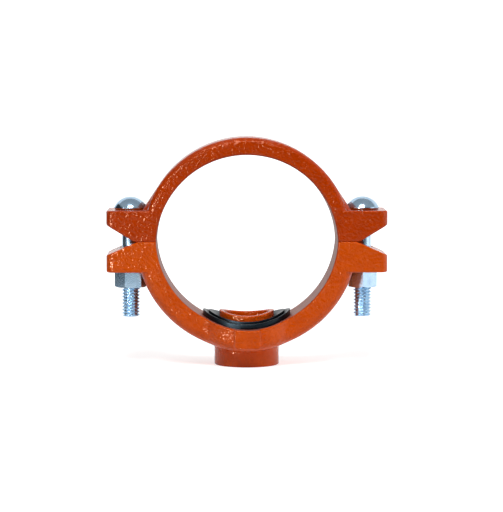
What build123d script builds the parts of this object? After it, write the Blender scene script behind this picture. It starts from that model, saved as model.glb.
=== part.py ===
from build123d import *
from math import sqrt
import os

# Threaded-outlet mechanical tee for a 4 inch steel run pipe, with a 1 inch outlet.
# Origin: where the run pipe's axis crosses the outlet's axis.
# +X runs across the bolt ears, +Y along the run pipe, and +Z away from the outlet.
# All sizes are in millimetres.

# Run bore and the joint between the two castings
run_bore_radius = 57.5          # bore of each casting, for 114.3 pipe
bore_past_joint = 2.8           # how far each bore's centre lies past the joint face
bore_edge_break = 0.9           # bevel where the bore meets the front and the back

# Band section
band_half_width = 20.0
strap_wall = 11.1               # wall at the crown of the strap casting
outlet_wall = 14.4              # wall at the bottom of the outlet casting
strap_edge_round = 4.4
outlet_edge_round = 6.2
strap_back_centre = 0.5         # centre of the strap's back, past the joint face
outlet_back_centre = 1.15       # centre of the outlet casting's back, past the joint face

# Bolt ears
bolt_offset = 74.0              # bolt axis from the outlet's axis
ear_past_bolt = 14.9            # ear end from the bolt's axis
ear_height = 19.55              # bearing face from the joint face
strap_slope_set_in = 2.8        # the strap ears' open slopes start this far inside the bolt's axis
outlet_slope_set_in = 4.8
strap_ear_opening = 10.6        # height of the strap's slope at the ear end
outlet_ear_opening = 8.6
slope_round = 7.0
ear_corner_radius = 5.0
ear_edge_round = 1.0
joint_edge_round = 1.0          # edges of the joint face and of the ears' slopes
gusset_set_back = 3.0           # gusset side, behind the band's flat side
gusset_edge_round = 6.5
gusset_lean = 33.6              # degrees, where the gusset leaves the round back
head_pocket_clearance = 0.6
nut_pocket_clearance = 0.6      # room round the nut's corners

# Outlet boss, skirt and pads
boss_radius = 20.6
boss_end = 82.5                 # outlet end from the run axis
boss_root_round = 3.0
boss_end_bevel = 0.4
skirt_radius = 32.0
skirt_blend_radius = 6.0
pad_width = 16.6
pad_proud = 2.4                 # pad face past the skirt
pad_drop = 69.6                 # pad bottom from the run axis
pad_corner_radius = 2.0
pad_edge_bevel = 0.8

# Outlet thread, kept at its minor radius, and the locating collar
thread_radius = 15.15           # 1 inch pipe thread
thread_length = 20.0
thread_mouth_bevel = 1.4
collar_bore_radius = 14.3
collar_radius = 17.5
collar_height = 7.2             # above the bore
collar_rim_bevel = 0.6

# Gasket and its pocket
pocket_depth = 5.5
gasket_radius = 27.9
gasket_height = 3.1             # outer lip above the bore
gasket_clearance = 0.3
outer_lip_width = 2.3
lip_gap = 1.4
inner_lip_width = 3.9
inner_lip_step = 1.5            # inner lip higher than the outer lip
groove_floor_height = 1.2       # groove between the lips, above the bore
tab_width = 8.6
tab_height = 2.7
tab_thickness = 0.5
tab_root = 0.5                  # the tab starts this far inside the outer lip's wall

# Bolts and nuts
bolt_radius = 5.85              # over the thread crests of M12
shank_radius = 5.43
bolt_length = 68.5              # under the head
thread_run = 42.0
bolt_end_bevel = 1.0
head_radius = 10.6
head_rim_height = 1.1
head_foot_radius = 9.9
head_height = 8.2
neck_length = 7.0
neck_width = 12.2
neck_span = 15.4                # long way of the oval neck, across the ears
neck_clearance = 0.4
bolt_hole_radius = 7.0
nut_flats = 18.0
nut_height = 10.6
nut_bevel = 1.3
nut_bevel_run = 0.7
thread_clearance = 0.05
nut_mouth_bevel = 0.6
nut_turns = {"left": 10.6, "right": 30.0}   # degrees, how each nut happens to be turned

# Sizes that follow from those
ear_reach = bolt_offset + ear_past_bolt
pad_reach = skirt_radius + pad_proud
strap_slope_start = bolt_offset - strap_slope_set_in
outlet_slope_start = bolt_offset - outlet_slope_set_in
joint_z = -bore_past_joint
strap_bore_z = joint_z - bore_past_joint
strap_back_radius = run_bore_radius + strap_wall - (bore_past_joint - strap_back_centre)
strap_back_z = joint_z - strap_back_centre
outlet_back_radius = run_bore_radius + outlet_wall - (bore_past_joint - outlet_back_centre)
outlet_back_z = joint_z + outlet_back_centre
strap_bearing_z = joint_z + ear_height
outlet_bearing_z = joint_z - ear_height
gasket_lip_radius = run_bore_radius - gasket_height
pocket_radius = gasket_radius + gasket_clearance
reach = 2 * ear_reach           # longer than any piece, for cutting tools
pick_slack = 0.01               # slack when an edge is picked by its place


def round_bar(radius, height, length=reach):
    """A bar along the run pipe's direction, centred at the given height."""
    bar = Cylinder(radius, length, rotation=(90, 0, 0))
    return Pos(0, 0, height) * bar


def band_cut(height):
    """The run bore of one casting, with its edges broken at the band's flat sides."""
    flare = run_bore_radius + bore_edge_break
    side = band_half_width
    edge = side - bore_edge_break
    profile = Polyline((0, -2 * side), (flare, -2 * side), (flare, -side), (run_bore_radius, -edge),
                       (run_bore_radius, edge), (flare, side), (flare, 2 * side), (0, 2 * side), close=True)
    return Pos(0, 0, height) * revolve(make_face(profile), Axis.Y)


def side_of_joint(up):
    """Half of space above or below the joint face, as a block."""
    shift = reach / 2 if up else -reach / 2
    return Pos(0, 0, joint_z + shift) * Box(2 * reach, 2 * reach, reach)


def ear(up, slope_start, opening):
    """One ear on +X: a rounded block whose joint side slopes open towards its end."""
    sign = 1 if up else -1
    inner = run_bore_radius / 2
    outline = Polyline((inner, 0), (slope_start, 0), (ear_reach, sign * opening),
                       (ear_reach, sign * ear_height), (inner, sign * ear_height), close=True)
    face = make_face(outline)
    knee = face.vertices().sort_by_distance((slope_start, 0, 0))[0]
    face = fillet(knee, slope_round)
    side_view = extrude(Plane.XZ * face, band_half_width, both=True)
    plan = Pos((inner + ear_reach) / 2, 0) * Rectangle(ear_reach - inner, 2 * band_half_width)
    ends = plan.vertices().group_by(Axis.X)[-1]
    plan = fillet(ends, ear_corner_radius)
    block = Pos(0, 0, joint_z) * (side_view & extrude(plan, 2 * ear_height, both=True))
    bearing = block.faces().sort_by(Axis.Z)[-1 if up else 0]
    block = fillet(bearing.edges(), ear_edge_round)
    knees = block.edges().filter_by(GeomType.CIRCLE).sort_by_distance((slope_start, 0, joint_z))[0:2]
    return fillet(knees, joint_edge_round)      # runs on round the whole joint side


def joint_corners():
    """Bevels that keep the bands clear of the ears' rounded joint edges, for both castings."""
    side, bevel = band_half_width, joint_edge_round + 0.2
    corner = Polyline((side + bevel, 0), (side, bevel), (side - bevel, 0), (side, -bevel), close=True)
    bar = extrude(Plane.YZ * make_face(corner), reach, both=True)
    return Pos(0, 0, joint_z) * (bar + mirror(bar, Plane.XZ))


def both_sides(solid):
    """A piece on +X together with its mirror image on -X."""
    return solid + mirror(solid, Plane.YZ)


def gusset():
    """Straight flank from the strap's round back down to the ear, on +X."""
    back = strap_back_radius
    lean = Vector(1, 0).rotate(Axis.Z, gusset_lean)
    start = lean * back + Vector(0, strap_back_z)
    fall = (start.Y - strap_bearing_z) / lean.X
    foot = start + Vector(lean.Y, -lean.X) * fall
    inner = run_bore_radius
    outline = Polyline((start.X, start.Y), (foot.X, foot.Y), (foot.X, joint_z + ear_height / 2),
                       (inner, joint_z + ear_height / 2), (start.X - strap_wall / 2, start.Y), close=True)
    web = extrude(Plane.XZ * make_face(outline), band_half_width - gusset_set_back, both=True)
    slope = web.faces().sort_by_distance(((start.X + foot.X) / 2, 0, (start.Y + foot.Y) / 2))[0]
    sides = slope.edges().filter_by(lambda edge: abs(edge.center().Y) > band_half_width / 2)
    return fillet(sides, gusset_edge_round)


def head_pocket():
    """Flat seat cut round a bolt head, on +X."""
    depth = head_height + strap_wall
    seat = Cylinder(head_radius + head_pocket_clearance, depth, align=(Align.CENTER, Align.CENTER, Align.MIN))
    return Pos(bolt_offset, 0, strap_bearing_z) * seat


def nut_pocket():
    """Bolt hole through the lower ear, with a flat seat cut round the nut, on +X."""
    seat = nut_flats / sqrt(3) + nut_pocket_clearance
    depth = ear_height + 2 * nut_height
    hole = Cylinder(bolt_hole_radius, depth, align=(Align.CENTER, Align.CENTER, Align.MAX))
    room = Cylinder(seat, 2 * nut_height, align=(Align.CENTER, Align.CENTER, Align.MAX))
    return Pos(bolt_offset, 0, joint_z) * hole + Pos(bolt_offset, 0, outlet_bearing_z) * room


def neck_slot(growth):
    """The oval of the bolt's neck, grown by a clearance on every side."""
    return SlotOverall(neck_span + 2 * growth, neck_width + 2 * growth)


def make_upper_housing():
    """Strap casting: a plain band with two ears, gussets and oval neck holes."""
    band = Pos(0, 0, strap_back_z) * Cylinder(strap_back_radius, 2 * band_half_width, rotation=(90, 0, 0))
    rims = band.edges().filter_by(GeomType.CIRCLE)
    band = (fillet(rims, strap_edge_round) & side_of_joint(True)) - joint_corners()
    hole = extrude(Pos(bolt_offset, 0, joint_z) * neck_slot(neck_clearance), 2 * ear_height)
    housing = band + both_sides(ear(True, strap_slope_start, strap_ear_opening)) + both_sides(gusset())
    housing -= both_sides(head_pocket()) + both_sides(hole)
    return housing - band_cut(strap_bore_z)


def skirted_band():
    """The outlet casting's band, which widens to a round skirt about the outlet."""
    plan = Rectangle(2 * reach, 2 * band_half_width) + Circle(skirt_radius)
    crossing = sqrt(skirt_radius**2 - band_half_width**2)
    corners = plan.vertices().filter_by(lambda corner: abs(corner.X) < crossing + 1)
    plan = fillet(corners, skirt_blend_radius)
    band = extrude(plan, -reach) & round_bar(outlet_back_radius, outlet_back_z)
    back = band.faces().filter_by(GeomType.CYLINDER).sort_by(Axis.Z)[0]
    rims = back.edges().filter_by(lambda edge: abs(edge.center().Y) > band_half_width / 2)
    return (fillet(rims, outlet_edge_round) & side_of_joint(False)) - joint_corners()


def on_bore_rim(edge):
    """Whether an edge lies where the outlet casting's bore meets its front or back."""
    middle = edge @ 0.5
    off_bore = abs(sqrt(middle.X**2 + middle.Z**2) - run_bore_radius)
    return off_bore < pick_slack and abs(middle.Y) > band_half_width - pick_slack


def pads():
    """Flat pads on the front and the back of the skirt."""
    height = pad_drop - run_bore_radius / 2
    front = Pos(0, -pad_drop + height / 2) * Rectangle(pad_width, height)
    front = fillet(front.vertices().group_by(Axis.Y)[0], pad_corner_radius)
    block = extrude(Plane.XZ * front, pad_reach, both=True)
    faces = block.faces().sort_by(Axis.Y)
    return chamfer(faces[0].edges() + faces[-1].edges(), pad_edge_bevel)


def boss():
    """Round outlet boss with a hollow round at its root, turned about the outlet's axis."""
    top = -run_bore_radius / 2
    root = -outlet_back_radius - boss_root_round / 2
    wide = boss_radius + boss_root_round
    start = Line((0, top), (wide, top))
    side = Line((wide, top), (wide, root + boss_root_round))
    hollow = RadiusArc((wide, root + boss_root_round), (boss_radius, root), -boss_root_round)
    wall = Polyline((boss_radius, root), (boss_radius, boss_end_bevel - boss_end),
                    (boss_radius - boss_end_bevel, -boss_end), (0, -boss_end), (0, top))
    return revolve(Plane.XZ * make_face(start + side + hollow + wall), Axis.Z)


def saddle_disc(radius, shallow, deep):
    """A disc about the outlet's axis, between two cylinders about the run pipe's axis."""
    return extrude(Circle(radius), -reach) & (round_bar(deep, 0) - round_bar(shallow, 0))


def saddle_ring(inner, outer, shallow, deep):
    """A saddle disc with a hole about the outlet's axis."""
    return saddle_disc(outer, shallow, deep) - extrude(Circle(inner), -reach)


def collar():
    """Locating collar that stands in the hole cut in the run pipe."""
    rim = run_bore_radius - collar_height
    ring = saddle_ring(collar_bore_radius, collar_radius, rim, run_bore_radius + pocket_depth + 1)
    top = ring.faces().sort_by_distance((0, 0, -rim))[0]
    return chamfer(top.edges(), collar_rim_bevel)


def outlet_bore():
    """Outlet passage: threaded length at its minor radius, then the collar's bore."""
    mouth = thread_radius + thread_mouth_bevel
    shoulder = thread_length - boss_end
    step = shoulder + thread_radius - collar_bore_radius
    profile = Polyline((0, -boss_end), (mouth, -boss_end), (thread_radius, thread_mouth_bevel - boss_end),
                       (thread_radius, shoulder), (collar_bore_radius, step), (collar_bore_radius, 0),
                       (0, 0), close=True)
    return revolve(Plane.XZ * make_face(profile), Axis.Z)


def make_lower_housing():
    """Outlet casting: skirted band with ears, pads, boss, gasket pocket and collar."""
    ears = both_sides(ear(False, outlet_slope_start, outlet_ear_opening)) - band_cut(0)
    housing = skirted_band() + pads() + boss() - round_bar(run_bore_radius, 0)
    housing = chamfer(housing.edges().filter_by(on_bore_rim), bore_edge_break)
    housing -= saddle_disc(pocket_radius, run_bore_radius / 2, run_bore_radius + pocket_depth)
    housing += ears + collar()
    return housing - outlet_bore() - both_sides(nut_pocket())


def make_gasket():
    """Pressure gasket: a saddle ring with two lips, and a plain tab on its front wall."""
    outer = gasket_radius
    outer_inside = outer - outer_lip_width
    inner_outside = outer_inside - lip_gap
    inner_inside = inner_outside - inner_lip_width
    hole = collar_radius + gasket_clearance
    deep = run_bore_radius + pocket_depth - gasket_clearance
    body = saddle_ring(hole, outer, run_bore_radius - groove_floor_height, deep)
    outer_lip = saddle_ring(outer_inside, outer, gasket_lip_radius, deep)
    inner_lip = saddle_ring(inner_inside, inner_outside, gasket_lip_radius - inner_lip_step, deep)
    depth = gasket_radius + tab_thickness
    tab_top = -gasket_lip_radius
    tab = Pos(0, -depth / 2, tab_top - tab_height / 2) * Box(tab_width, depth, tab_height)
    tab -= Cylinder(outer_inside + tab_root, 2 * reach)
    return body + outer_lip + inner_lip + tab


def make_bolt(side):
    """Track-head bolt: domed head, oval neck, plain shank and a threaded end."""
    dome_rise = head_height - head_rim_height
    dome_radius = (head_radius**2 + dome_rise**2) / (2 * dome_rise)
    start = Polyline((0, 0), (head_foot_radius, 0), (head_radius, head_rim_height))
    dome = RadiusArc((head_radius, head_rim_height), (0, head_height), -dome_radius)
    head = revolve(Plane.XZ * make_face(start + dome + Line((0, head_height), (0, 0))), Axis.Z)
    thread_top = thread_run - bolt_length
    run_out = bolt_radius - shank_radius
    shank = Polyline((0, 0), (shank_radius, 0), (shank_radius, thread_top + run_out),
                     (bolt_radius, thread_top), (bolt_radius, bolt_end_bevel - bolt_length),
                     (bolt_radius - bolt_end_bevel, -bolt_length), (0, -bolt_length), close=True)
    shank = revolve(Plane.XZ * make_face(shank), Axis.Z)
    neck = extrude(neck_slot(0), -neck_length)
    return Pos(side * bolt_offset, 0, strap_bearing_z) * (head + shank + neck)


def make_nut(side, turn):
    """Hexagon nut, bevelled on both faces and bored to run over the thread."""
    flats = Rot(0, 0, turn) * RegularPolygon(nut_flats / 2, 6, major_radius=False)
    blank = extrude(flats, -nut_height)
    corner = nut_flats / sqrt(3)
    face_radius = corner - nut_bevel
    envelope = Polyline((0, 0), (face_radius, 0), (corner, -nut_bevel_run),
                        (corner, nut_bevel_run - nut_height), (face_radius, -nut_height),
                        (0, -nut_height), close=True)
    blank &= revolve(Plane.XZ * make_face(envelope), Axis.Z)
    bore = bolt_radius + thread_clearance
    mouth = bore + nut_mouth_bevel
    core = Polyline((0, 0), (mouth, 0), (bore, -nut_mouth_bevel), (bore, nut_mouth_bevel - nut_height),
                    (mouth, -nut_height), (0, -nut_height), close=True)
    blank -= revolve(Plane.XZ * make_face(core), Axis.Z)
    return Pos(side * bolt_offset, 0, outlet_bearing_z) * blank


def main():
    """Make each piece and write its file."""
    pieces = {
        "upper_housing": make_upper_housing(),
        "lower_housing": make_lower_housing(),
        "gasket": make_gasket(),
    }
    for name, side in (("left", -1), ("right", 1)):
        pieces[f"bolt_{name}"] = make_bolt(side)
        pieces[f"nut_{name}"] = make_nut(side, nut_turns[name])
    os.makedirs("parts", exist_ok=True)
    for name, solid in pieces.items():
        export_step(solid, f"parts/{name}.step")
        print(name, round(solid.volume), "mm3")


main()
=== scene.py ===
"""Looks of a threaded-outlet mechanical tee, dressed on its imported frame.

Two painted castings clamp round a run pipe with two track-head bolts and their nuts, and a
rubber saddle gasket seals the outlet.  All sizes are in metres, in the frame of the part: +X
across the ears, +Y along the run pipe and -Z out of the outlet.
"""
import logging
import math
from dataclasses import dataclass
from enum import Enum

import bmesh
import bpy
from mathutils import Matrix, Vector


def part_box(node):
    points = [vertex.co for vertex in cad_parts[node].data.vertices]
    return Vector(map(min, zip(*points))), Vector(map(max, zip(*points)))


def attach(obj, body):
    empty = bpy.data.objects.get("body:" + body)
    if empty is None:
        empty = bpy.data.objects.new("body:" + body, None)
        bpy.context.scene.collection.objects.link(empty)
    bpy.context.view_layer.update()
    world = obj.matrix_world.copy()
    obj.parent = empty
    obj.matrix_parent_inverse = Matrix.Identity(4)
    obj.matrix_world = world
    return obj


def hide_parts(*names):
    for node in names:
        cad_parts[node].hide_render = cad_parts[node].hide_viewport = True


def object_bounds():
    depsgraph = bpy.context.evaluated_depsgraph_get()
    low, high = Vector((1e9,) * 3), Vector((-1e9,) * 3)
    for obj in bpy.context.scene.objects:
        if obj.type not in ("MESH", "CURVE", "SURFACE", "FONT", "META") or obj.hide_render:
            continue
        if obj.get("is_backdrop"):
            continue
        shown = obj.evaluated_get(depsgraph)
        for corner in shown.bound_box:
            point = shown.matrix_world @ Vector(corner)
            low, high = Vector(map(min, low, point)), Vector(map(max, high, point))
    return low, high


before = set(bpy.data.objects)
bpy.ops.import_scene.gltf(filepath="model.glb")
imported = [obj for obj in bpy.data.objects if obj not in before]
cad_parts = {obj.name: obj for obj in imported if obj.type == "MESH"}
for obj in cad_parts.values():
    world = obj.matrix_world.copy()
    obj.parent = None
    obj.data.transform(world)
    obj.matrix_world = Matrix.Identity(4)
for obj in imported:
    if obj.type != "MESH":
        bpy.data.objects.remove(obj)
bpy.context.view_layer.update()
LOG = logging.getLogger("mechanical_tee")
Colour = tuple[float, float, float]
Point = tuple[float, float, float]
Range = tuple[float, float]
Outline = list[tuple[float, float]]

ORIGIN: Point = (0.0, 0.0, 0.0)
NOISE_RANGE: Range = (0.3, 0.7)      # where nearly all of a noise's values lie
CREASE_ANGLE = math.radians(35.0)    # edges that turn more than this stay crisp
CORNER_STEPS = 6                     # steps in each rounded corner
CORNER_SHARE = 0.49                  # the most of a side that one rounded corner takes
THREAD_ROOT = 0.20                   # share of half a turn that stays at the root
THREAD_FLANK = 0.65                  # share of half a turn that climbs to the crest
WELD_DISTANCE = 1e-6


class Side(Enum):
    """The two ends of the castings, as the nodes spell them; the left one lies at -X."""

    LEFT = "left"
    RIGHT = "right"


# Materials --------------------------------------------------------------------------------


class NodeGraph:
    """A thin helper that adds and joins nodes in one tree."""

    def __init__(self, tree: bpy.types.NodeTree) -> None:
        """Start on a tree.

        Args:
            tree: the tree that gets the nodes.
        """
        self.tree = tree

    def add(self, kind: str, **settings: object) -> bpy.types.Node:
        """Add one node.

        Args:
            kind: Blender's name for the node.
            **settings: values for the node's own properties.

        Returns:
            The new node.
        """
        node = self.tree.nodes.new(kind)
        for name, value in settings.items():
            setattr(node, name, value)
        return node

    def feed(self, socket: bpy.types.NodeSocket, value: object) -> None:
        """Join a socket, or set its value.

        Args:
            socket: the input to feed.
            value: another node's output, or a plain value.
        """
        if isinstance(value, bpy.types.NodeSocket):
            self.tree.links.new(value, socket)
        else:
            socket.default_value = value

    def math(self, operation: str, *values: object, clamp: bool = False) -> bpy.types.NodeSocket:
        """Work out one number from others.

        Args:
            operation: the Math node's operation.
            *values: numbers or sockets, in order.
            clamp: whether the result is kept between 0 and 1.

        Returns:
            The result's socket.
        """
        node = self.add("ShaderNodeMath", operation=operation, use_clamp=clamp)
        for socket, value in zip(node.inputs, values):
            self.feed(socket, value)
        return node.outputs[0]

    def choose(self, switch: bpy.types.NodeSocket, chosen: object, other: object) -> bpy.types.NodeSocket:
        """Pick one of two numbers.

        Args:
            switch: 1 for the first number, 0 for the second.
            chosen: the first number, or a socket that carries it.
            other: the second number, or a socket that carries it.

        Returns:
            The picked number.
        """
        rest = self.math("SUBTRACT", 1.0, switch)
        return self.math("ADD", self.math("MULTIPLY", chosen, switch), self.math("MULTIPLY", other, rest))

    def seen(self, mirrored_share: float) -> bpy.types.NodeSocket:
        """Whether the camera sees a point straight, through glass or in a reflection.

        Args:
            mirrored_share: how much of it a reflection shows.

        Returns:
            1 where it does, the share in a reflection, else 0.
        """
        path = self.add("ShaderNodeLightPath")
        straight = self.math("MAXIMUM", path.outputs["Is Camera Ray"], path.outputs["Is Transmission Ray"])
        mirrored = self.math("MULTIPLY", path.outputs["Is Glossy Ray"], mirrored_share)
        return self.math("MAXIMUM", straight, mirrored)


class SurfaceGraph(NodeGraph):
    """The nodes of one surface material, on the piece's own coordinates."""

    def __init__(self, name: str) -> None:
        """Start a material with one Principled shader.

        Args:
            name: the material's name.
        """
        self.material = bpy.data.materials.new(name)
        self.material.use_nodes = True
        super().__init__(self.material.node_tree)
        self.shader = self.tree.nodes["Principled BSDF"]
        self.place = self.add("ShaderNodeTexCoord").outputs["Object"]

    def noise(self, size: float, detail: float = 2.0, rough: float = 0.5) -> bpy.types.NodeSocket:
        """Cloudy noise over the surface.

        Args:
            size: the noise's grain in metres.
            detail: how many finer layers it has.
            rough: how strong those layers are.

        Returns:
            The noise's value, about 0.5 on average.
        """
        node = self.add("ShaderNodeTexNoise")
        self.feed(node.inputs["Vector"], self.place)
        self.feed(node.inputs["Scale"], 1.0 / size)
        self.feed(node.inputs["Detail"], detail)
        self.feed(node.inputs["Roughness"], rough)
        return node.outputs["Fac"]

    def cells(self, size: float) -> bpy.types.NodeSocket:
        """Distance from the nearest of many scattered points.

        Args:
            size: the spacing of the points in metres.

        Returns:
            The distance as a share of the spacing.
        """
        node = self.add("ShaderNodeTexVoronoi")
        self.feed(node.inputs["Vector"], self.place)
        self.feed(node.inputs["Scale"], 1.0 / size)
        return node.outputs["Distance"]

    def spread(self, value: bpy.types.NodeSocket, low: float, high: float, to_low: float,
               to_high: float) -> bpy.types.NodeSocket:
        """Map a range of a value onto another range.

        Args:
            value: the value to map.
            low: the value that gives to_low.
            high: the value that gives to_high.
            to_low: the result's lower end.
            to_high: the result's upper end.

        Returns:
            The mapped value.
        """
        node = self.add("ShaderNodeMapRange")
        names = ("Value", "From Min", "From Max", "To Min", "To Max")
        for name, number in zip(names, (value, low, high, to_low, to_high)):
            self.feed(node.inputs[name], number)
        return node.outputs["Result"]

    def vary(self, noise: bpy.types.NodeSocket, limits: Range) -> bpy.types.NodeSocket:
        """Turn a noise into a number that varies between two limits.

        Args:
            noise: the noise's value.
            limits: the lowest and the highest result.

        Returns:
            The varying number.
        """
        return self.spread(noise, *NOISE_RANGE, *limits)

    def distance(self, centre: Point, axes: Point) -> bpy.types.NodeSocket:
        """Distance from a centre, counted along some of the axes.

        Args:
            centre: the point that it is measured from.
            axes: 1 for each axis that counts, else 0.

        Returns:
            The distance in metres.
        """
        offset = self.add("ShaderNodeVectorMath", operation="SUBTRACT")
        self.feed(offset.inputs[0], self.place)
        self.feed(offset.inputs[1], centre)
        masked = self.add("ShaderNodeVectorMath", operation="MULTIPLY")
        self.feed(masked.inputs[0], offset.outputs["Vector"])
        self.feed(masked.inputs[1], axes)
        length = self.add("ShaderNodeVectorMath", operation="LENGTH")
        self.feed(length.inputs[0], masked.outputs["Vector"])
        return length.outputs["Value"]

    def blend(self, share: object, first: object, second: object) -> bpy.types.NodeSocket:
        """Mix two colours.

        Args:
            share: how much of the second colour shows.
            first: the first colour, or a socket that carries it.
            second: the second colour, or a socket that carries it.

        Returns:
            The mixed colour.
        """
        node = self.add("ShaderNodeMix", data_type="RGBA")
        colours = [socket for socket in node.inputs if socket.type == "RGBA"]
        self.feed(node.inputs["Factor"], share)
        for socket, colour in zip(colours, (first, second)):
            self.feed(socket, colour if isinstance(colour, bpy.types.NodeSocket) else (*colour, 1.0))
        return next(socket for socket in node.outputs if socket.type == "RGBA")

    def softened(self, radius: float) -> bpy.types.NodeSocket:
        """A normal that turns gently across sharp edges, as thick paint does.

        Args:
            radius: how far the paint rounds an edge, in metres.

        Returns:
            The softened normal.
        """
        node = self.add("ShaderNodeBevel", samples=8)
        self.feed(node.inputs["Radius"], radius)
        return node.outputs["Normal"]

    def relief(self, height: bpy.types.NodeSocket, depth: float, strength: object = 0.5,
               under: bpy.types.NodeSocket | None = None) -> bpy.types.NodeSocket:
        """Turn a height into a bumpy normal.

        Args:
            height: the height as a share.
            depth: the relief's depth in metres.
            strength: how strongly it shows, as a number or a socket.
            under: a normal that this relief lies on.

        Returns:
            The bumpy normal.
        """
        node = self.add("ShaderNodeBump")
        self.feed(node.inputs["Height"], height)
        self.feed(node.inputs["Distance"], depth)
        self.feed(node.inputs["Strength"], strength)
        if under is not None:
            self.feed(node.inputs["Normal"], under)
        return node.outputs["Normal"]

    def set(self, **values: object) -> None:
        """Set the shader's inputs.

        Args:
            **values: the inputs by name, with _ for a space.
        """
        for name, value in values.items():
            self.feed(self.shader.inputs[name.replace("_", " ")], value)


@dataclass(frozen=True)
class EnamelFinish:
    """Gloss orange enamel over a sand-cast surface, darker, greyer and duller on the wall of the run bore.

    The paint lies in slow swells and finer orange peel, over the grain and pits of the casting.
    Between the two heights of peel_ends, counted from the run's axis, the peel fades to faint_peel,
    which it keeps on the outlet boss.
    """

    name: str
    colour: Colour
    thin_colour: Colour
    bore_centre: Point
    # on the run bore's wall, clear of the outlet, the colour turns darker and greyer and the roughness
    # rises
    bore_colour: Colour = (0.300, 0.075, 0.050)
    bore_roughness: float = 0.42
    bore_radius: float = 0.0575
    outlet_radius: float = 0.0200
    bore_fade: float = 0.0004
    edge_radius: float = 0.0011
    swell: float = 0.009
    swell_depth: float = 0.0007
    thin_range: Range = (0.35, 0.70)
    thin_share: float = 0.5
    grain_shade: Range = (0.6, 1.4)
    peel: float = 0.0020
    peel_depth: float = 0.00068
    peel_ends: Range = (0.0730, 0.0745)
    faint_peel: float = 0.25
    grain: float = 0.0011
    grain_depth: float = 0.00010
    grain_strength: float = 0.8
    pit_spacing: float = 0.0033
    pit_share: float = 0.35
    pit_depth: float = 0.00005
    fine_grain: float = 0.00045
    fine_depth: float = 0.00003
    gloss: Range = (0.10, 0.18)
    specular_level: float = 0.40
    specular_tint: Colour = (1.0, 0.57, 0.38)
    slot: str = "painted_casting"

    def make(self) -> bpy.types.Material:
        """Build the material.

        Returns:
            The enamel.
        """
        graph = SurfaceGraph(self.name)
        cloud = graph.noise(self.swell, detail=3.0, rough=0.6)
        grain = graph.noise(self.grain, detail=2.0, rough=0.6)
        fine = graph.noise(self.fine_grain, detail=1.0)
        bore = self.in_bore(graph)
        thin = graph.spread(cloud, *self.thin_range, 0.0, self.thin_share)
        paint = graph.blend(graph.math("MULTIPLY", thin, graph.vary(grain, self.grain_shade)), self.colour,
                            self.thin_colour)
        dull = graph.math("MULTIPLY", bore, self.bore_roughness)
        graph.set(
            Base_Color=graph.blend(bore, paint, self.bore_colour),
            Specular_IOR_Level=self.specular_level,
            Specular_Tint=(*self.specular_tint, 1.0),
            Roughness=graph.math("MAXIMUM", graph.vary(fine, self.gloss), dull),
            Normal=self.surface(graph, cloud, grain, fine),
        )
        return graph.material

    def surface(self, graph: SurfaceGraph, cloud: bpy.types.NodeSocket, grain: bpy.types.NodeSocket,
                fine: bpy.types.NodeSocket) -> bpy.types.NodeSocket:
        """Lay the swells, the peel, the cast grain and the pits over each other.

        Args:
            graph: the material's graph.
            cloud: the noise of the swells.
            grain: the noise of the cast grain.
            fine: the noise of the finest grain.

        Returns:
            The normal of the painted surface.
        """
        height = graph.distance(ORIGIN, (0.0, 0.0, 1.0))
        peel_strength = graph.spread(height, *self.peel_ends, 1.0, self.faint_peel)
        pit = graph.spread(graph.cells(self.pit_spacing), 0.0, self.pit_share, 0.0, 1.0)
        normal = graph.relief(cloud, self.swell_depth, under=graph.softened(self.edge_radius))
        normal = graph.relief(graph.noise(self.peel, detail=1.5), self.peel_depth, peel_strength, normal)
        normal = graph.relief(grain, self.grain_depth, self.grain_strength, normal)
        normal = graph.relief(pit, self.pit_depth, under=normal)
        return graph.relief(fine, self.fine_depth, under=normal)

    def in_bore(self, graph: SurfaceGraph) -> bpy.types.NodeSocket:
        """Whether a point lies on the wall of the run bore, clear of the outlet.

        Args:
            graph: the material's graph.

        Returns:
            1 on the wall, else 0.
        """
        from_run = graph.distance(self.bore_centre, (1.0, 0.0, 1.0))
        from_outlet = graph.distance(ORIGIN, (1.0, 1.0, 0.0))
        wall = graph.spread(from_run, self.bore_radius, self.bore_radius + self.bore_fade, 1.0, 0.0)
        clear = graph.spread(from_outlet, self.outlet_radius, self.outlet_radius + self.bore_fade, 0.0, 1.0)
        return graph.math("MULTIPLY", wall, clear)


@dataclass(frozen=True)
class RubberFinish:
    """Moulded black rubber with a dull sheen."""

    colour: Colour = (0.0025, 0.0045, 0.0070)
    bloom_colour: Colour = (0.0045, 0.0075, 0.0110)
    bloom: float = 0.0054
    bloom_range: Range = (0.4, 0.7)
    grain: float = 0.0006
    grain_depth: float = 0.00004
    roughness: Range = (0.26, 0.40)
    specular_level: float = 0.32
    specular_tint: Colour = (0.55, 0.80, 1.0)
    slot: str = "gasket_rubber"

    def make(self) -> bpy.types.Material:
        """Build the material.

        Returns:
            The rubber.
        """
        graph = SurfaceGraph("gasket_rubber")
        grain = graph.noise(self.grain, detail=3.0)
        bloom = graph.spread(graph.noise(self.bloom), *self.bloom_range, 0.0, 1.0)
        graph.set(
            Base_Color=graph.blend(bloom, self.colour, self.bloom_colour),
            Specular_IOR_Level=self.specular_level,
            Specular_Tint=(*self.specular_tint, 1.0),
            Roughness=graph.vary(grain, self.roughness),
            Normal=graph.relief(grain, self.grain_depth),
        )
        return graph.material


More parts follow.
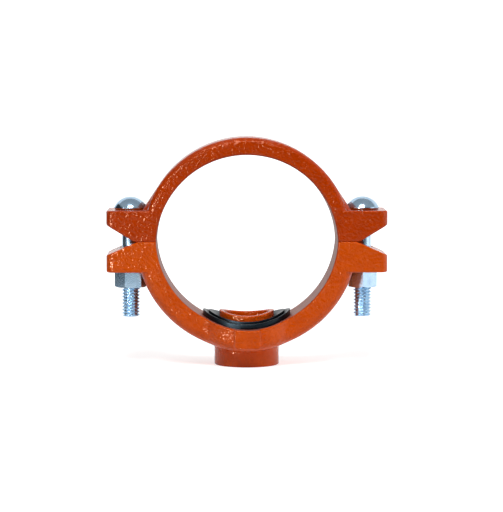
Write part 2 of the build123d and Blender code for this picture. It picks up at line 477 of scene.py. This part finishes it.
@dataclass(frozen=True)
class ZincFinish:
    """Bright zinc plating with a bluish passivated tint."""

    colour: Colour = (0.50, 0.68, 0.84)
    cloud_colour: Colour = (0.40, 0.58, 0.76)
    cloud: float = 0.0048
    cloud_range: Range = (0.35, 0.65)
    grain: float = 0.0008
    grain_depth: float = 0.00004
    grain_strength: float = 0.35
    roughness: Range = (0.14, 0.22)
    slot: str = "zinc_plated_steel"

    def make(self) -> bpy.types.Material:
        """Build the material.

        Returns:
            The plating.
        """
        graph = SurfaceGraph("zinc_plating")
        cloud = graph.spread(graph.noise(self.cloud, detail=3.0), *self.cloud_range, 0.0, 1.0)
        grain = graph.noise(self.grain)
        graph.set(
            Base_Color=graph.blend(cloud, self.colour, self.cloud_colour),
            Metallic=1.0,
            Roughness=graph.vary(grain, self.roughness),
            Normal=graph.relief(grain, self.grain_depth, self.grain_strength),
        )
        return graph.material


# Meshes -----------------------------------------------------------------------------------


def dress(piece: bpy.types.Object, material: bpy.types.Material) -> None:
    """Give a piece one material in place of its own.

    Args:
        piece: the object to dress.
        material: the finish that it gets.
    """
    piece.data.materials.clear()
    piece.data.materials.append(material)


def settle(mesh: bmesh.types.BMesh, name: str, body: str, material: bpy.types.Material) -> bpy.types.Object:
    """Turn a finished mesh into a piece that rides on a body.

    Args:
        mesh: the closed mesh, which is freed.
        name: the piece's name.
        body: the body that it moves with.
        material: its finish.

    Returns:
        The new piece.
    """
    bmesh.ops.recalc_face_normals(mesh, faces=mesh.faces)
    for face in mesh.faces:
        face.smooth = True
    for edge in mesh.edges:
        edge.smooth = edge.calc_face_angle(0.0) < CREASE_ANGLE
    data = bpy.data.meshes.new(name)
    mesh.to_mesh(data)
    mesh.free()
    piece = bpy.data.objects.new(name, data)
    bpy.context.scene.collection.objects.link(piece)
    dress(piece, material)
    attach(piece, body)
    return piece


def sweep(mesh: bmesh.types.BMesh, rings: list[list[bmesh.types.BMVert]], closed: bool = False) -> None:
    """Join rings of points with faces; a ring of one point is a pole.

    Args:
        mesh: the mesh that holds them.
        rings: the rings in order, each with the same number of points or one.
        closed: whether the last ring is joined to the first.
    """
    pairs = list(zip(rings, rings[1:])) + ([(rings[-1], rings[0])] if closed else [])
    for lower, upper in pairs:
        steps = max(len(lower), len(upper))
        for step in range(steps):
            after = (step + 1) % steps
            below = [lower[step % len(lower)], lower[after % len(lower)]]
            above = [upper[after % len(upper)], upper[step % len(upper)]]
            mesh.faces.new(list(dict.fromkeys(below + above)))


def lathe(mesh: bmesh.types.BMesh, profile: Outline, centre: Vector, steps: int,
          stretch: float = 0.0) -> None:
    """Turn a profile about the vertical through a centre.

    Args:
        mesh: the mesh that gets the turned solid.
        profile: radius and height of each point, from one point on the axis to another.
        centre: the point that the heights and radii start from.
        steps: how many steps make one turn.
        stretch: how far the two halves are drawn apart along X, which makes an oval.
    """
    rings = []
    for radius, height in profile:
        ring = []
        for step in range(steps if radius > 0.0 else 1):
            angle = math.tau * (step + 0.5) / steps
            shift = math.copysign(stretch / 2.0, math.cos(angle)) if radius > 0.0 else 0.0
            offset = Vector((shift + radius * math.cos(angle), radius * math.sin(angle), height))
            ring.append(mesh.verts.new(centre + offset))
        rings.append(ring)
    sweep(mesh, rings)


def rounded(corners: list[tuple[float, float, float]]) -> Outline:
    """Round the corners of a line of points.

    Args:
        corners: two coordinates and the length of each side that the rounding takes, which is 0
            for a sharp corner and for the ends of an open line.

    Returns:
        The points of the rounded line.
    """
    line = []
    for index, (across, along, size) in enumerate(corners):
        spot = Vector((across, along))
        if size <= 0.0:
            line.append(tuple(spot))
            continue
        back = Vector(corners[index - 1][:2]) - spot
        ahead = Vector(corners[(index + 1) % len(corners)][:2]) - spot
        start = spot + back.normalized() * min(size, CORNER_SHARE * back.length)
        end = spot + ahead.normalized() * min(size, CORNER_SHARE * ahead.length)
        for step in range(CORNER_STEPS + 1):
            share = step / CORNER_STEPS
            line.append(tuple(start * (1 - share) ** 2 + spot * 2 * share * (1 - share) + end * share**2))
    return line


class ShapeGraph(NodeGraph):
    """A Geometry Nodes tree with named inputs that ends in one material."""

    def __init__(self, name: str) -> None:
        """Start an empty tree.

        Args:
            name: the tree's name.
        """
        super().__init__(bpy.data.node_groups.new(name, "GeometryNodeTree"))
        self.tree.interface.new_socket("Geometry", in_out="OUTPUT", socket_type="NodeSocketGeometry")
        self.entry = self.add("NodeGroupInput")
        self.exit = self.add("NodeGroupOutput")
        self.identifiers: dict[str, str] = {}

    def size(self, name: str, kind: str = "NodeSocketFloat") -> bpy.types.NodeSocket:
        """Add a named input.

        Args:
            name: the input's name.
            kind: its socket type.

        Returns:
            The socket that carries its value.
        """
        item = self.tree.interface.new_socket(name, in_out="INPUT", socket_type=kind)
        self.identifiers[name] = item.identifier
        return self.entry.outputs[name]

    def close(self, shape: bpy.types.NodeSocket) -> None:
        """End the tree in Realize Instances and Set Material.

        Args:
            shape: the finished geometry.
        """
        material = self.size("Material", "NodeSocketMaterial")
        real = self.add("GeometryNodeRealizeInstances")
        self.feed(real.inputs["Geometry"], shape)
        finish = self.add("GeometryNodeSetMaterial")
        self.feed(finish.inputs["Geometry"], real.outputs["Geometry"])
        self.feed(finish.inputs["Material"], material)
        self.feed(self.exit.inputs["Geometry"], finish.outputs["Geometry"])

    def mesh(self, sizes: dict[str, object]) -> bpy.types.Mesh:
        """Run the tree once.

        Args:
            sizes: a value for each named input.

        Returns:
            The result as a plain mesh.
        """
        carrier = bpy.data.objects.new("carrier", bpy.data.meshes.new("carrier"))
        bpy.context.scene.collection.objects.link(carrier)
        modifier = carrier.modifiers.new("shape", "NODES")
        modifier.node_group = self.tree
        for name, value in sizes.items():
            modifier[self.identifiers[name]] = value
        graph = bpy.context.evaluated_depsgraph_get()
        result = bpy.data.meshes.new_from_object(carrier.evaluated_get(graph))
        carrier.modifiers.remove(modifier)
        bpy.data.objects.remove(carrier)
        return result


def thread_graph() -> ShapeGraph:
    """Build the tree that winds a screw thread round the vertical.

    The thread climbs from height 0 to Length.  Its radius runs between Root and Crest once each
    Pitch.  It leaves Foot Radius at Foot Slope, which is above 0 on a bolt and below 0 in a bore, and
    it fades to Top Radius over Fade.  A last ring of Cap Radius closes each end when that is 0.

    Returns:
        The tree.
    """
    graph = ShapeGraph("screw_thread")
    segments = graph.size("Segments", "NodeSocketInt")
    rows = graph.size("Rows", "NodeSocketInt")
    crest, root, pitch, length = (graph.size(name) for name in ("Crest", "Root", "Pitch", "Length"))
    foot, slope, top = (graph.size(name) for name in ("Foot Radius", "Foot Slope", "Top Radius"))
    fade, cap = (graph.size(name) for name in ("Fade", "Cap Radius"))
    grid = graph.add("GeometryNodeMeshGrid")
    graph.feed(grid.inputs["Vertices X"], graph.math("ADD", segments, 1.0))
    graph.feed(grid.inputs["Vertices Y"], graph.math("ADD", rows, 1.0))
    place = graph.add("ShaderNodeSeparateXYZ")
    graph.feed(place.inputs[0], graph.add("GeometryNodeInputPosition").outputs[0])
    around = graph.math("ADD", place.outputs["X"], 0.5)
    along = graph.math("ADD", place.outputs["Y"], 0.5)
    step = graph.math("DIVIDE", length, graph.math("SUBTRACT", rows, 2.0))
    raw = graph.math("SUBTRACT", graph.math("MULTIPLY", along, graph.math("MULTIPLY", rows, step)), step)
    height = graph.math("MINIMUM", graph.math("MAXIMUM", raw, 0.0), length)
    wave = graph.math("FRACT", graph.math("SUBTRACT", graph.math("DIVIDE", height, pitch), around))
    swing = graph.math("SUBTRACT", graph.math("MULTIPLY", wave, 2.0), 1.0)
    ramp = graph.math("SUBTRACT", 1.0, graph.math("ABSOLUTE", swing))
    flank = graph.math("DIVIDE", graph.math("SUBTRACT", ramp, THREAD_ROOT), THREAD_FLANK, clamp=True)
    radius = graph.math("ADD", root, graph.math("MULTIPLY", graph.math("SUBTRACT", crest, root), flank))
    limit = graph.math("ADD", foot, graph.math("MULTIPLY", height, slope))
    widening = graph.math("GREATER_THAN", slope, 0.0)
    inner = graph.math("MINIMUM", radius, limit)
    outer = graph.math("MAXIMUM", radius, limit)
    radius = graph.choose(widening, inner, outer)
    keep = graph.math("DIVIDE", graph.math("SUBTRACT", length, height), fade, clamp=True)
    radius = graph.math("ADD", top, graph.math("MULTIPLY", graph.math("SUBTRACT", radius, top), keep))
    half = graph.math("MULTIPLY", step, 0.5)
    below = graph.math("LESS_THAN", raw, graph.math("MULTIPLY", half, -1.0))
    above = graph.math("GREATER_THAN", raw, graph.math("ADD", length, half))
    radius = graph.choose(graph.math("ADD", below, above), cap, radius)
    angle = graph.math("MULTIPLY", around, math.tau)
    spot = graph.add("ShaderNodeCombineXYZ")
    graph.feed(spot.inputs["X"], graph.math("MULTIPLY", radius, graph.math("COSINE", angle)))
    graph.feed(spot.inputs["Y"], graph.math("MULTIPLY", radius, graph.math("SINE", angle)))
    graph.feed(spot.inputs["Z"], height)
    bend = graph.add("GeometryNodeSetPosition")
    graph.feed(bend.inputs["Geometry"], grid.outputs["Mesh"])
    graph.feed(bend.inputs["Position"], spot.outputs[0])
    weld = graph.add("GeometryNodeMergeByDistance")
    graph.feed(weld.inputs["Geometry"], bend.outputs["Geometry"])
    graph.feed(weld.inputs["Distance"], WELD_DISTANCE)
    graph.close(weld.outputs["Geometry"])
    return graph


# Pieces -----------------------------------------------------------------------------------


@dataclass
class Casting:
    """A painted casting, whose form the frame already holds."""

    node: str
    enamel: bpy.types.Material
    finish: EnamelFinish

    def build(self) -> None:
        """Dress the casting in enamel."""
        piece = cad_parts[self.node]
        dress(piece, self.enamel)
        LOG.info("%s: casting dressed", self.node)


@dataclass
class OutletThread:
    """Female pipe thread in the outlet boss, wound as a thin sleeve on the wall."""

    graph: ShapeGraph
    enamel: bpy.types.Material
    finish: EnamelFinish
    wall_radius: float = 0.01515
    depth: float = 0.0011
    root_height: float = 0.00002
    embed: float = 0.0005
    pitch: float = 0.002309
    length: float = 0.0185
    mouth: float = 0.0014
    fade: float = 0.004
    segments: int = 72
    rows_per_turn: int = 12

    def build(self) -> None:
        """Wind the thread from the outlet's mouth inwards."""
        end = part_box("lower_housing")[0].z
        data = self.graph.mesh({
            "Segments": self.segments,
            "Rows": round(self.length / self.pitch * self.rows_per_turn),
            "Crest": self.wall_radius - self.depth,
            "Root": self.wall_radius - self.root_height,
            "Pitch": self.pitch,
            "Length": self.length,
            "Foot Radius": self.wall_radius,
            "Foot Slope": -1.0,
            "Top Radius": self.wall_radius,
            "Fade": self.fade,
            "Cap Radius": self.wall_radius + self.embed,
            "Material": self.enamel,
        })
        mesh = bmesh.new()
        mesh.from_mesh(data)
        bmesh.ops.bridge_loops(mesh, edges=[edge for edge in mesh.edges if edge.is_boundary])
        bmesh.ops.translate(mesh, verts=mesh.verts, vec=(0.0, 0.0, end + self.mouth))
        settle(mesh, "outlet_thread", "outlet_half", self.enamel)
        LOG.info("outlet_thread: female pipe thread wound")


@dataclass
class SaddleGasket:
    """Rubber ring that follows the pipe, with a raised outer lip, an inner lip and a front tab."""

    rubber: bpy.types.Material
    finish: RubberFinish
    bore: float = 0.0575
    seat_depth: float = 0.0052
    hole: float = 0.0178
    radius: float = 0.0279
    outer_lip_height: float = 0.0031
    inner_lip_height: float = 0.0046
    groove_height: float = 0.0012
    outer_lip: float = 0.0023
    gap: float = 0.0014
    inner_lip: float = 0.0039
    rounding: float = 0.0007
    steps: int = 180
    tab_width: float = 0.0086
    tab_height: float = 0.0027
    tab_thickness: float = 0.0008
    tab_depth: float = 0.0032
    tab_rounding: float = 0.00052

    def section(self) -> Outline:
        """Radius of the ring's section, and its height inside the run bore.

        Returns:
            The closed, rounded section.
        """
        soft = self.rounding
        lip = self.radius - self.outer_lip
        inner = lip - self.gap
        back = inner - self.inner_lip
        top, crown = self.outer_lip_height, self.inner_lip_height
        low, floor = self.groove_height, -self.seat_depth
        return rounded([
            (self.radius, floor, soft), (self.radius, top, soft),
            (lip, top, soft), (lip - soft / 2, low, soft / 2),
            (inner, low, soft / 2), (inner, crown, soft),
            (back, crown - 2 * soft, 2 * soft), (back - soft, low, soft),
            (self.hole, low, soft), (self.hole, floor, soft),
        ])

    def saddle(self, radius: float, height: float, angle: float) -> Vector:
        """A point of the ring.

        Args:
            radius: its distance from the outlet's axis.
            height: how far it stands inside the run bore.
            angle: its direction round the outlet's axis, in radians.

        Returns:
            The point.
        """
        across = radius * math.cos(angle)
        drop = math.sqrt((self.bore - height) ** 2 - across**2)
        return Vector((across, radius * math.sin(angle), -drop))

    def build(self) -> None:
        """Mould the ring and its tab."""
        mesh = bmesh.new()
        section = self.section()
        rings = [[mesh.verts.new(self.saddle(radius, height, math.tau * step / self.steps))
                  for radius, height in section] for step in range(self.steps)]
        sweep(mesh, rings, closed=True)
        self.add_tab(mesh)
        piece = settle(mesh, "saddle_gasket", "outlet_half", self.rubber)
        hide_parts("gasket")
        LOG.info("saddle_gasket: lips and tab moulded")

    def add_tab(self, mesh: bmesh.types.BMesh) -> None:
        """Add the plain raised tab on the front wall.

        Args:
            mesh: the gasket's mesh.
        """
        top = -(self.bore - self.outer_lip_height)
        front = -self.radius - self.tab_thickness
        size = Vector((self.tab_width, self.tab_depth, self.tab_height))
        centre = Vector((0.0, front + size.y / 2.0, top - size.z / 2.0))
        corners = bmesh.ops.create_cube(mesh, size=1.0)["verts"]
        for corner in corners:
            corner.co = centre + corner.co * size
        edges = list({edge for corner in corners for edge in corner.link_edges})
        bmesh.ops.bevel(mesh, geom=edges, offset=self.tab_rounding, segments=3, profile=0.5, affect="EDGES")


@dataclass
class TrackBolt:
    """Domed track-head bolt with an oval neck and a rolled thread."""

    side: Side
    graph: ShapeGraph
    zinc: bpy.types.Material
    finish: ZincFinish
    head_radius: float = 0.0106
    rim_height: float = 0.0011
    foot_radius: float = 0.0099
    head_height: float = 0.0082
    head_rounding: float = 0.0004
    seat_flat: float = 0.0010
    dome_steps: int = 16
    neck_width: float = 0.0122
    neck_span: float = 0.0154
    neck_length: float = 0.0070
    neck_bevel: float = 0.0004
    neck_overlap: float = 0.0002
    shank_radius: float = 0.00543
    shank_overlap: float = 0.0005
    shank_clearance: float = 0.00001
    crest_radius: float = 0.00583
    root_radius: float = 0.00465
    pitch: float = 0.0021
    thread_length: float = 0.042
    fade_turns: float = 1.5
    end_bevel: float = 0.0009
    steps: int = 96
    rows_per_turn: int = 12

    def dome(self) -> Outline:
        """Radius and height of the head's outline above its seat.

        Returns:
            The outline from the foot to the top of the dome.
        """
        rise = self.head_height - self.rim_height
        ball = (self.head_radius**2 + rise**2) / (2.0 * rise)
        middle = self.head_height - ball
        edge = math.asin(self.head_radius / ball)
        angles = [edge * step / self.dome_steps for step in reversed(range(self.dome_steps))]
        arc = [(ball * math.sin(angle), middle + ball * math.cos(angle)) for angle in angles]
        arc[-1] = (0.0, self.head_height)
        foot = rounded([
            (self.foot_radius - self.seat_flat, 0.0, 0.0),
            (self.foot_radius, 0.0, self.head_rounding),
            (self.head_radius, self.rim_height, self.head_rounding),
            (*arc[0], 0.0),
        ])
        return foot + arc[1:]

    def shank(self, length: float) -> Outline:
        """Radius and height of the plain shank's outline, from inside the thread up to the seat.

        Args:
            length: the bolt's length under its head.

        Returns:
            The outline from the axis to the seat.
        """
        foot = self.thread_length - length - self.shank_overlap
        radius = self.shank_radius - self.shank_clearance
        return [(0.0, foot), (radius, foot), (radius, 0.0)]

    def neck(self) -> Outline:
        """Radius and height of the neck's outline, before its halves are drawn apart.

        Returns:
            The outline from the axis below to the axis inside the head.
        """
        half, foot = self.neck_width / 2.0, -self.neck_length
        return [(0.0, foot), (half - self.neck_bevel, foot), (half, self.neck_bevel - self.neck_length),
                (half, self.neck_overlap), (0.0, self.neck_overlap)]

    def build(self) -> None:
        """Turn the head and shank, form the neck and roll the thread."""
        node = f"bolt_{self.side.value}"
        low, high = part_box(node)
        seat = Vector(((low.x + high.x) / 2.0, (low.y + high.y) / 2.0, high.z - self.head_height))
        mesh = bmesh.new()
        thread = self.graph.mesh({
            "Segments": self.steps,
            "Rows": round(self.thread_length / self.pitch * self.rows_per_turn),
            "Crest": self.crest_radius,
            "Root": self.root_radius,
            "Pitch": self.pitch,
            "Length": self.thread_length,
            "Foot Radius": self.crest_radius - self.end_bevel,
            "Foot Slope": 1.0,
            "Top Radius": self.shank_radius,
            "Fade": self.pitch * self.fade_turns,
            "Cap Radius": 0.0,
            "Material": self.zinc,
        })
        mesh.from_mesh(thread)
        bmesh.ops.translate(mesh, verts=mesh.verts, vec=(seat.x, seat.y, low.z))
        lathe(mesh, self.shank(seat.z - low.z) + self.dome(), seat, self.steps)
        lathe(mesh, self.neck(), seat, self.steps, stretch=self.neck_span - self.neck_width)
        piece = settle(mesh, f"track_bolt_{self.side.value}", "strap_half", self.zinc)
        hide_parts(node)
        LOG.info("%s: head turned and thread rolled", piece.name)


@dataclass
class HexNut:
    """Plated hexagon nut, whose form the frame already holds."""

    side: Side
    zinc: bpy.types.Material
    finish: ZincFinish

    def build(self) -> None:
        """Dress the nut in zinc."""
        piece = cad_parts[f"nut_{self.side.value}"]
        dress(piece, self.zinc)
        LOG.info("%s: nut dressed", piece.name)


# Studio -----------------------------------------------------------------------------------


@dataclass(frozen=True)
class Card:
    """A flat card near the part: its middle, with the height above the floor, and its half sides."""

    name: str
    centre: Point
    half_width: Point
    half_height: Point
    dark: bool = True


@dataclass(frozen=True)
class Lamp:
    """A soft square lamp that faces the part.

    Azimuth and elevation are degrees towards +X from the front and above level, away and size are
    metres, and power is watts.  A lamp for glints shows only in reflections.
    """

    name: str
    azimuth: float
    elevation: float
    away: float
    size: float
    power: float
    for_glints: bool = False


CARDS = (
    Card("floor", (0.0, 0.0, 0.0), (6.0, 0.0, 0.0), (0.0, 6.0, 0.0), dark=False),
    Card("backdrop", (0.0, 2.0, 1.5), (6.0, 0.0, 0.0), (0.0, 0.0, 1.5), dark=False),
    Card("dark_card_front", (0.0, -2.3, 1.0), (3.0, 0.0, 0.0), (0.0, 0.0, 1.0)),
    Card("dark_card_table", (0.0, -1.43, 0.002), (3.0, 0.0, 0.0), (0.0, 0.87, 0.0)),
    Card("dark_card_side", (-1.25, 0.10, 0.002), (0.75, 0.0, 0.0), (0.0, 0.60, 0.0)),
    Card("dark_card_left", (-1.4, 0.3, 0.6), (0.0, 1.1, 0.0), (0.0, 0.0, 0.6)),
)
LAMPS = (
    Lamp("spark", azimuth=-26.0, elevation=8.0, away=1.4, size=0.06, power=7.5, for_glints=True),
    Lamp("side_spark", azimuth=-44.0, elevation=5.0, away=1.4, size=0.06, power=10.5, for_glints=True),
    Lamp("key", azimuth=-5.0, elevation=52.0, away=1.5, size=0.60, power=12.5),
    Lamp("fill", azimuth=76.0, elevation=12.0, away=1.5, size=1.00, power=3.6),
)


def toward(azimuth: float, elevation: float) -> Vector:
    """A direction from the part, where 0 degrees of azimuth is its front.

    Args:
        azimuth: degrees towards +X.
        elevation: degrees above level.

    Returns:
        The direction.
    """
    turn, lift = math.radians(azimuth), math.radians(elevation)
    return Vector((math.sin(turn) * math.cos(lift), -math.cos(turn) * math.cos(lift), math.sin(lift)))


@dataclass
class Studio:
    """Pale floor and backdrop, dark cards for contrast, soft lamps, and the camera."""

    azimuth: float = -1.02
    elevation: float = 4.58
    distance: float = 1.50
    lens: float = 165.0
    aim: Point = (0.00312, 0.0, -0.0133)
    pale: Colour = (0.86, 0.86, 0.86)
    fibre: float = 0.004
    fibre_roughness: Range = (0.85, 0.95)
    dark: Colour = (0.012, 0.014, 0.018)
    nap: float = 0.006
    nap_colour: Colour = (0.024, 0.028, 0.036)
    ambient: float = 0.42
    mirrored_share: float = 0.70
    glow: Range = (0.70, 1.0)
    glow_reach: Range = (0.15, 1.0)

    def build(self) -> None:
        """Set up everything round the part."""
        bpy.context.scene.view_settings.view_transform = "Standard"
        self.make_camera()
        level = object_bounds()[0].z
        paper, black = self.paper(), self.velvet()
        for plan in CARDS:
            self.make_card(plan, black if plan.dark else paper, level)
        self.make_world()
        for plan in LAMPS:
            self.make_lamp(plan)
        LOG.info("studio: camera, floor, cards and lamps set")

    def make_camera(self) -> None:
        """Stand the camera off the part, level and without shift."""
        away = toward(self.azimuth, self.elevation)
        data = bpy.data.cameras.new("camera")
        data.lens = self.lens
        camera = bpy.data.objects.new("camera", data)
        camera.location = Vector(self.aim) + away * self.distance
        camera.rotation_euler = (-away).to_track_quat("-Z", "Y").to_euler()
        bpy.context.scene.collection.objects.link(camera)
        bpy.context.scene.camera = camera

    def make_card(self, plan: Card, material: bpy.types.Material, level: float) -> None:
        """Stand one flat card near the part.

        Args:
            plan: its name, place and size.
            material: its finish.
            level: the floor's height.
        """
        across, up = Vector(plan.half_width), Vector(plan.half_height)
        middle = Vector((plan.centre[0], plan.centre[1], level + plan.centre[2]))
        mesh = bmesh.new()
        corners = ((-1, -1), (1, -1), (1, 1), (-1, 1))
        mesh.faces.new([mesh.verts.new(middle + across * x + up * y) for x, y in corners])
        data = bpy.data.meshes.new(plan.name)
        mesh.to_mesh(data)
        mesh.free()
        card = bpy.data.objects.new(plan.name, data)
        bpy.context.scene.collection.objects.link(card)
        dress(card, material)
        card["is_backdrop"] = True

    def paper(self) -> bpy.types.Material:
        """Matt white paper that fades to plain white away from the part.

        Returns:
            The paper.
        """
        graph = SurfaceGraph("studio_paper")
        fibre = graph.noise(self.fibre)
        away = graph.distance(ORIGIN, (1.0, 1.0, 0.0))
        glow = graph.spread(away, *self.glow_reach, *self.glow)
        graph.set(
            Base_Color=(*self.pale, 1.0),
            Specular_IOR_Level=0.0,
            Roughness=graph.vary(fibre, self.fibre_roughness),
            Emission_Color=(1.0, 1.0, 1.0, 1.0),
            Emission_Strength=graph.math("MULTIPLY", graph.seen(self.mirrored_share), glow),
        )
        return graph.material

    def velvet(self) -> bpy.types.Material:
        """Nearly black cloth.

        Returns:
            The cloth.
        """
        graph = SurfaceGraph("studio_velvet")
        graph.set(Base_Color=graph.blend(graph.noise(self.nap), self.dark, self.nap_colour), Roughness=1.0)
        return graph.material

    def make_world(self) -> None:
        """Plain grey surroundings that light the part softly."""
        world = bpy.data.worlds.new("surroundings")
        bpy.context.scene.world = world
        world.use_nodes = True
        sky = world.node_tree.nodes["Background"]
        sky.inputs["Color"].default_value = (1.0, 1.0, 1.0, 1.0)
        sky.inputs["Strength"].default_value = self.ambient

    def make_lamp(self, plan: Lamp) -> None:
        """Hang one lamp.

        Args:
            plan: its name, place, size and power.
        """
        data = bpy.data.lights.new(plan.name, "AREA")
        data.shape = "SQUARE"
        data.size = plan.size
        data.energy = plan.power
        lamp = bpy.data.objects.new(plan.name, data)
        direction = toward(plan.azimuth, plan.elevation)
        lamp.location = Vector(self.aim) + direction * plan.away
        lamp.rotation_euler = direction.to_track_quat("Z", "Y").to_euler()
        lamp.visible_diffuse = not plan.for_glints
        bpy.context.scene.collection.objects.link(lamp)


def main() -> None:
    """Build the finishes, the pieces and the studio, in that order."""
    logging.basicConfig(level=logging.INFO, format="%(message)s")
    strap_finish = EnamelFinish(
        name="strap_enamel",
        colour=(0.545, 0.048, 0.0002),
        thin_colour=(0.420, 0.032, 0.0002),
        bore_centre=(0.0, 0.0, -0.0056),
    )
    outlet_finish = EnamelFinish(
        name="outlet_enamel",
        colour=(0.760, 0.092, 0.0006),
        thin_colour=(0.600, 0.060, 0.0006),
        bore_centre=ORIGIN,
    )
    rubber_finish, zinc_finish = RubberFinish(), ZincFinish()
    strap_enamel, outlet_enamel = strap_finish.make(), outlet_finish.make()
    rubber, zinc = rubber_finish.make(), zinc_finish.make()
    thread = thread_graph()
    Casting("upper_housing", strap_enamel, strap_finish).build()
    Casting("lower_housing", outlet_enamel, outlet_finish).build()
    OutletThread(thread, outlet_enamel, outlet_finish).build()
    SaddleGasket(rubber, rubber_finish).build()
    for side in Side:
        TrackBolt(side, thread, zinc, zinc_finish).build()
        HexNut(side, zinc, zinc_finish).build()
    Studio().build()


if __name__ == "__main__":
    main()
